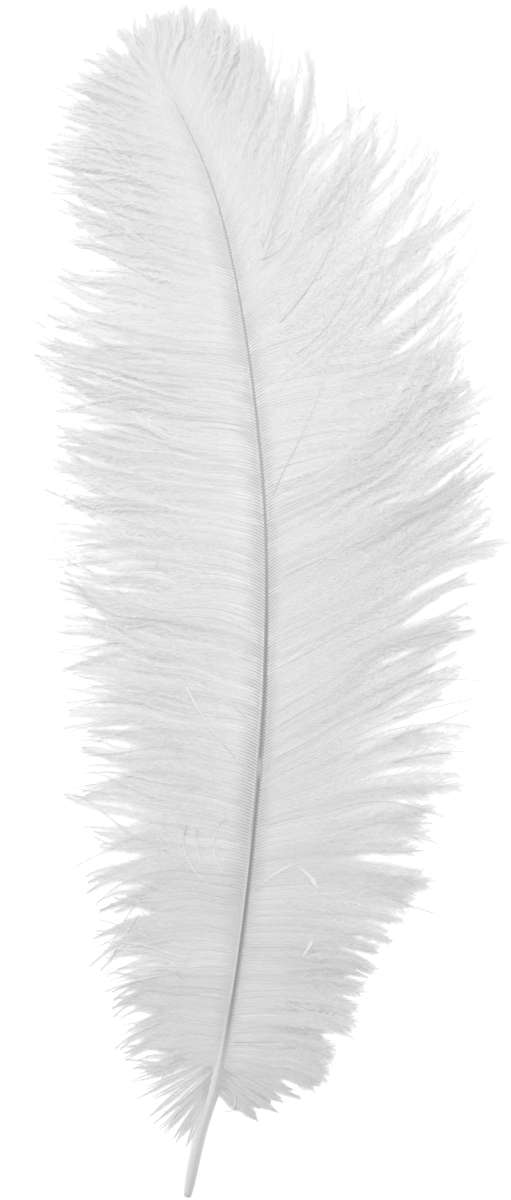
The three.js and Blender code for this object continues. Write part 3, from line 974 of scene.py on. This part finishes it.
def barb_keratin(settings, name):
    """White keratin, grown as fine fibres: matt, a little see-through, and whiter up the plume, with painted
    shade that greys it towards the foot.

    Barbules let more light through than the thicker stems (rami).
    """
    if name in bpy.data.materials:
        return bpy.data.materials[name]
    see_through = {"barbule_keratin": 0.37, "ramus_keratin": 0.2}[name]
    material, tree, shader = new_material(name, Roughness=0.65, IOR=1.55, Specular_IOR_Level=0.25)
    place = add_node(tree, "ShaderNodeTexCoord")
    split = add_node(tree, "ShaderNodeSeparateXYZ", [("Vector", place.outputs["Object"])])
    # Painted shade: grey at the foot and a little further up on the right, where the barbs lie thickest, and
    # white from the middle up.
    links = [(0, split.outputs["X"]), (2, split.outputs["Y"])]
    slope = add_node(tree, "ShaderNodeMath", links, [(1, -0.5)], operation="MULTIPLY_ADD")
    limits = [("From Min", -0.16), ("From Max", 0.05)]
    rise = add_node(tree, "ShaderNodeMapRange", [("Value", slope.outputs["Value"])], limits)
    colours = [(6, linear(settings.grey)), (7, linear(settings.white))]
    shade = add_node(tree, "ShaderNodeMix", [("Factor", rise.outputs["Result"])], colours, data_type="RGBA")
    tone = add_node(tree, "ShaderNodeAttribute", attribute_name="tone")
    links = [(0, shade.outputs[2]), ("Scale", tone.outputs["Fac"])]
    scale = add_node(tree, "ShaderNodeVectorMath", links, operation="SCALE")
    tree.links.new(scale.outputs["Vector"], shader.inputs["Base Color"])
    through = add_node(tree, "ShaderNodeBsdfTranslucent", [("Color", scale.outputs["Vector"])])
    links = [(1, shader.outputs["BSDF"]), (2, through.outputs["BSDF"])]
    mixed = add_node(tree, "ShaderNodeMixShader", links, [(0, see_through)])
    tree.links.new(mixed.outputs["Shader"], tree.nodes["Material Output"].inputs["Surface"])
    return material


def shaft_horn(settings):
    """Horn of the quill and rachis: satin, with paler flanks painted against the round shaft's shade, a
    painted highlight beside the groove, and grey in the groove, partly its own and partly painted shade.
    """
    material, tree, shader = new_material("shaft_horn", Roughness=0.6, IOR=1.55)
    curves = {}
    for way, shapes in (("across", HORN_ACROSS), ("along", HORN_ALONG)):
        place = add_node(tree, "ShaderNodeAttribute", attribute_name=way)
        for name, points in shapes.items():
            curve = add_node(tree, "ShaderNodeFloatCurve", [("Value", place.outputs["Fac"])], points=points)
            curves[name] = curve.outputs["Value"]
    # The groove's grey: partly the horn's own, partly painted shade in the groove.
    links = [(0, curves["groove"]), (1, curves["groove_depth"])]
    amount = add_node(tree, "ShaderNodeMath", links, operation="MULTIPLY")
    colours = [(6, linear(settings.horn)), (7, linear(settings.groove))]
    links = [("Factor", amount.outputs["Value"])]
    colour = add_node(tree, "ShaderNodeMix", links, colours, data_type="RGBA")
    # Painted light: the highlight at the groove's edge, added to the paler flanks that cancel the round
    # shaft's shade.
    links = [(0, curves["gleam"]), (1, curves["gleam_depth"]), (2, curves["painted_flank_light"])]
    lit = add_node(tree, "ShaderNodeMath", links, operation="MULTIPLY_ADD")
    # A faint grain about a millimetre across, coarser than real horn's, so that it shows.
    place = add_node(tree, "ShaderNodeTexCoord")
    sizes = [("Scale", 900.0), ("Detail", 3.0)]
    grain = add_node(tree, "ShaderNodeTexNoise", [("Vector", place.outputs["Object"])], sizes)
    limits = [("To Min", 1.13), ("To Max", 1.33)]
    grain = add_node(tree, "ShaderNodeMapRange", [("Value", grain.outputs["Fac"])], limits)
    links = [(0, curves["bare_quill"]), (1, grain.outputs["Result"])]
    paler = add_node(tree, "ShaderNodeMath", links, operation="MULTIPLY")
    links = [(0, lit.outputs["Value"]), (1, paler.outputs["Value"])]
    level = add_node(tree, "ShaderNodeMath", links, operation="MULTIPLY")
    links = [(0, colour.outputs[2]), ("Scale", level.outputs["Value"])]
    shade = add_node(tree, "ShaderNodeVectorMath", links, operation="SCALE")
    tree.links.new(shade.outputs["Vector"], shader.inputs["Base Color"])
    return material


def surface_paper(settings):
    """Plain matt paper, lit a little from below, so that gaps between barbs stay white."""
    surface = linear(settings.surface)
    material, _, shader = new_material("surface_paper", Roughness=0.9, Specular_IOR_Level=0.0)
    shader.inputs["Base Color"].default_value = surface
    shader.inputs["Emission Color"].default_value = surface
    shader.inputs["Emission Strength"].default_value = settings.glow
    return material


# --- Operators ----------------------------------------------------------------------------


def shaft_line():
    """The shaft's line, measured on its solid."""
    return ShaftLine(frame["nodes"]["shaft"])


def settle(piece, node):
    """Ties a finished piece to the plume's body, and hides the solid that it stands in for."""
    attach(piece, "root")
    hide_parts(node)


def place_barbs(name, node, material, barbs, stem=0.0, rng=None):
    """One piece of the barbs' stems, where stem is above 0, and of their fringes, given rng."""
    barb = bpy.context.scene.plume_barbs
    strips = Strips()
    if stem:
        add_rami(strips, barbs, stem * barb.thickness / MM)
    if rng is not None:
        add_barbules(rng, strips, barbs, barb.barbules, barb.barbule / MM, barb.fringe / MM)
    settle(make_mesh(name, strips, barb_keratin(barb, material)), node)


def place_tuft(name, side, wisps, seed):
    """A few straight wisps, each of some barbs that end in one point."""
    rng = np.random.default_rng(bpy.context.scene.plume_barbs.seed + seed)
    wisps = np.repeat(np.array(wisps, float), TUFT_BARBS[side], axis=0)
    wisps = wisps[np.argsort(wisps[:, 0], kind="stable")]
    count = len(wisps)
    centres, _, right, widths, depths = shaft_line().at(wisps[:, 0] + rng.normal(0, 0.5, count))
    start = centres + right * side * (widths * 0.36)[:, None]
    start[:, 2] += 0.25 * depths
    tip = np.column_stack([wisps[:, 1:3] + rng.normal(0, 0.35, (count, 2)), 1 + 0.8 * wisps[:, 3]])
    share = SHARE[:, :, None]
    path = start[:, None, :] + (tip - start)[:, None, :] * share
    bow = rng.normal(0, 0.9, count)[:, None, None] * np.cross(UP, unit(tip - start))[:, None, :]
    path = path + bow * share * (1 - share) * 2
    path[:, :, 2] += (LOFT * 3 * share * (1 - share) * start[:, None, 2:3] / SHAFT_CREST)[:, :, 0]
    path[:, :, 2] = np.maximum(path[:, :, 2], STEM_GAP)
    tone = rng.normal(0, 0.012, count)
    fringe = TUFT_FRINGE[side] * rng.uniform(0.8, 1.2, count)
    barbs = {"path": path, "tone": tone, "fringe": fringe, "inner": fringe}
    for key, value in (("end_fringe", 0.3), ("plain", 0.04), ("comb", 0.0), ("dusk", 0.05)):
        barbs[key] = np.full(count, value)
    barbs["ridge"] = np.full((count, 2), 0.01)
    place_barbs(f"{name}_tuft", name, "barbule_keratin", barbs, 0.7, rng)


def spread_roots(final, spacing):
    """Distances of the barbs' roots along the shaft, closer together under the crown."""
    step = 0.1
    grid = np.arange(FIRST_ROOT, final, step)
    crowded = np.cumsum(step / spacing * (1 + change("crown_crowd", grid)))
    return np.interp(np.arange(1, crowded[-1]), crowded, grid)


def place_vane(name, side, locks, seed, final, strays):
    """Grows a vane: its stems in one piece, its fringes in three, and the strays over it."""
    barb = bpy.context.scene.plume_barbs
    rng = np.random.default_rng(barb.seed + seed)
    shaft = shaft_line()
    roots = spread_roots(final, barb.spacing / MM)
    roots = roots + rng.normal(0, VARY["root"], len(roots))
    barbs = grow_barbs(rng, shaft, side, roots, locks, np.zeros(len(roots)))
    # Some clumps are grown once more, and lie over the others.
    clump = runs(rng, len(roots), *CLUMP)
    odds = change("over_from", roots) * change("over_to", roots)
    picked = rng.random(clump.max() + 1)[clump] < odds
    if picked.any():
        amount = rng.uniform(*OVER_AMOUNT, clump.max() + 1)[clump][picked]
        over = grow_barbs(rng, shaft, side, roots[picked] + OVER_ROOT, locks, amount)
        roots = np.concatenate([roots, roots[picked] + OVER_ROOT])
        order = np.argsort(roots)
        roots = roots[order]
        barbs = {key: np.concatenate([barbs[key], over[key]])[order] for key in barbs}
    # Some barbs show as paler or darker lines, fewer of them towards the crown.
    lines = rng.normal(0, VARY["line"], len(roots)) * (1 - change("upper_lines", roots))
    barbs["plain"] = barbs["plain"] + lines
    place_barbs(f"{name}_rami", name, "ramus_keratin", barbs, 1.0)
    parts = ("foot", "middle", "crown")
    for part, chosen in zip(parts, np.array_split(np.arange(len(roots)), len(parts))):
        some = {key: value[chosen] for key, value in barbs.items()}
        place_barbs(f"{name}_{part}", name, "barbule_keratin", some, rng=rng)
    some = grow_strays(strays, barbs)
    place_barbs(f"{name}_strays", name, "barbule_keratin", some, 0.6, rng)


class PLUME_OT_shaft(bpy.types.Operator):
    """Finish the shaft: a smooth copy of its solid with the grooved horn's colours"""

    bl_idname = "plume.shaft"
    bl_label = "Shaft"

    def execute(self, context):
        node = frame["nodes"]["shaft"]
        bpy.ops.object.select_all(action="DESELECT")
        piece = node.copy()
        piece.data = node.data.copy()
        piece.name = "shaft_horn"
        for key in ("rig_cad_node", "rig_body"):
            if key in piece:
                del piece[key]
        piece.parent = None
        context.scene.collection.objects.link(piece)
        context.view_layer.objects.active = piece
        piece.select_set(True)
        bpy.ops.object.mode_set(mode="EDIT")
        bpy.ops.mesh.select_all(action="SELECT")
        bpy.ops.mesh.remove_doubles(threshold=1e-6)
        bpy.ops.mesh.tris_convert_to_quads()
        bpy.ops.object.mode_set(mode="OBJECT")
        smoother = piece.modifiers.new("Smooth", "SUBSURF")
        smoother.levels = smoother.render_levels = 2
        bpy.ops.object.modifier_apply(modifier="Smooth")
        bpy.ops.object.shade_smooth()
        line = shaft_line()
        points = np.empty(len(piece.data.vertices) * 3)
        piece.data.vertices.foreach_get("co", points)
        points = points.reshape(-1, 3) / MM
        distance = np.interp(points[:, 1], line.centres[:, 1], line.distances)
        centres, _, right, widths, depths = line.at(distance)
        across = ((points - centres) * right).sum(1) / (widths / 2)
        height = (points[:, 2] - centres[:, 2]) / (depths / 2)
        groove_place = np.interp(distance, *GROOVE_PLACE)
        across = across / 2 + 0.5 + (GROOVE_DARKEST - groove_place) * (1 - np.abs(across))
        across = np.clip(np.where(height < 0, 0, across), 0, 1)
        for name, values in (("across", across), ("along", distance / distance.max())):
            attribute = piece.data.attributes.new(name, "FLOAT", "POINT")
            attribute.data.foreach_set("value", values.astype(np.float32))
        piece.data.materials.clear()
        piece.data.materials.append(shaft_horn(context.scene.plume_shaft))
        settle(piece, "shaft")
        return {"FINISHED"}


class PLUME_OT_vane_left(bpy.types.Operator):
    """Grow the left vane's barbs"""

    bl_idname = "plume.vane_left"
    bl_label = "Left vane"

    def execute(self, context):
        place_vane("vane_left", -1, LEFT_LOCKS, seed=1, final=337, strays=LEFT_STRAYS)
        return {"FINISHED"}


class PLUME_OT_vane_right(bpy.types.Operator):
    """Grow the right vane's barbs"""

    bl_idname = "plume.vane_right"
    bl_label = "Right vane"

    def execute(self, context):
        place_vane("vane_right", 1, RIGHT_LOCKS, seed=2, final=337.5, strays=RIGHT_STRAYS)
        return {"FINISHED"}


class PLUME_OT_down(bpy.types.Operator):
    """Grow the two tufts of down along the quill"""

    bl_idname = "plume.down"
    bl_label = "Down"

    def execute(self, context):
        place_tuft("down_left", -1, LEFT_TUFT, seed=3)
        place_tuft("down_right", 1, RIGHT_TUFT, seed=4)
        return {"FINISHED"}


class PLUME_OT_stage(bpy.types.Operator):
    """Lay out the surface, the light and the camera"""

    bl_idname = "plume.stage"
    bl_label = "Stage"

    def execute(self, context):
        stage = context.scene.plume_stage
        bpy.ops.object.select_all(action="DESELECT")
        bpy.ops.mesh.primitive_plane_add(size=FLOOR_SIZE)
        floor = context.active_object
        floor.name = "surface"
        floor.data.materials.append(surface_paper(stage))

        world = bpy.data.worlds.new("studio")
        context.scene.world = world
        world.use_nodes = True
        sky = world.node_tree.nodes["Background"]
        sky.inputs["Color"].default_value = (1, 1, 1, 1)
        sky.inputs["Strength"].default_value = stage.sky

        lamp = bpy.data.lights.new("key", "AREA")
        lamp.shape = "DISK"
        lamp.size = LAMP_SIZE
        lamp.energy = stage.key
        key = bpy.data.objects.new("key", lamp)
        key.location = LAMP_PLACE
        key.rotation_euler = (*(math.radians(angle) for angle in LAMP_TILT), 0)
        context.scene.collection.objects.link(key)

        lens = bpy.data.cameras.new("camera")
        lens.lens = stage.lens
        lens.clip_end = 20
        camera = bpy.data.objects.new("camera", lens)
        camera.location = (*VIEW_CENTRE, stage.view_length * stage.lens / lens.sensor_width)
        context.scene.collection.objects.link(camera)
        context.scene.camera = camera
        context.scene.view_settings.view_transform = "Standard"
        return {"FINISHED"}


class PLUME_PT_panel(bpy.types.Panel):
    """Lists the plume's pieces in the sidebar"""

    bl_label = "Plume"
    bl_idname = "PLUME_PT_panel"
    bl_space_type = "VIEW_3D"
    bl_region_type = "UI"
    bl_category = "Plume"

    def draw(self, context):
        for operator in OPERATORS:
            self.layout.operator(operator.bl_idname)


SETTINGS = {"plume_shaft": ShaftSettings, "plume_barbs": BarbSettings, "plume_stage": StageSettings}
OPERATORS = (PLUME_OT_shaft, PLUME_OT_vane_left, PLUME_OT_vane_right, PLUME_OT_down, PLUME_OT_stage)


def register():
    """Adds the plume's settings, operators and panel."""
    for kind in (*SETTINGS.values(), *OPERATORS, PLUME_PT_panel):
        bpy.utils.register_class(kind)
    for name, kind in SETTINGS.items():
        setattr(bpy.types.Scene, name, PointerProperty(type=kind))


def unregister():
    """Takes them away again."""
    for name in SETTINGS:
        delattr(bpy.types.Scene, name)
    for kind in (*SETTINGS.values(), *OPERATORS, PLUME_PT_panel):
        bpy.utils.unregister_class(kind)


def main():
    """Builds the plume and its stage."""
    register()
    bpy.ops.plume.shaft()
    bpy.ops.plume.vane_left()
    bpy.ops.plume.vane_right()
    bpy.ops.plume.down()
    bpy.ops.plume.stage()


if __name__ == "__main__":
    main()
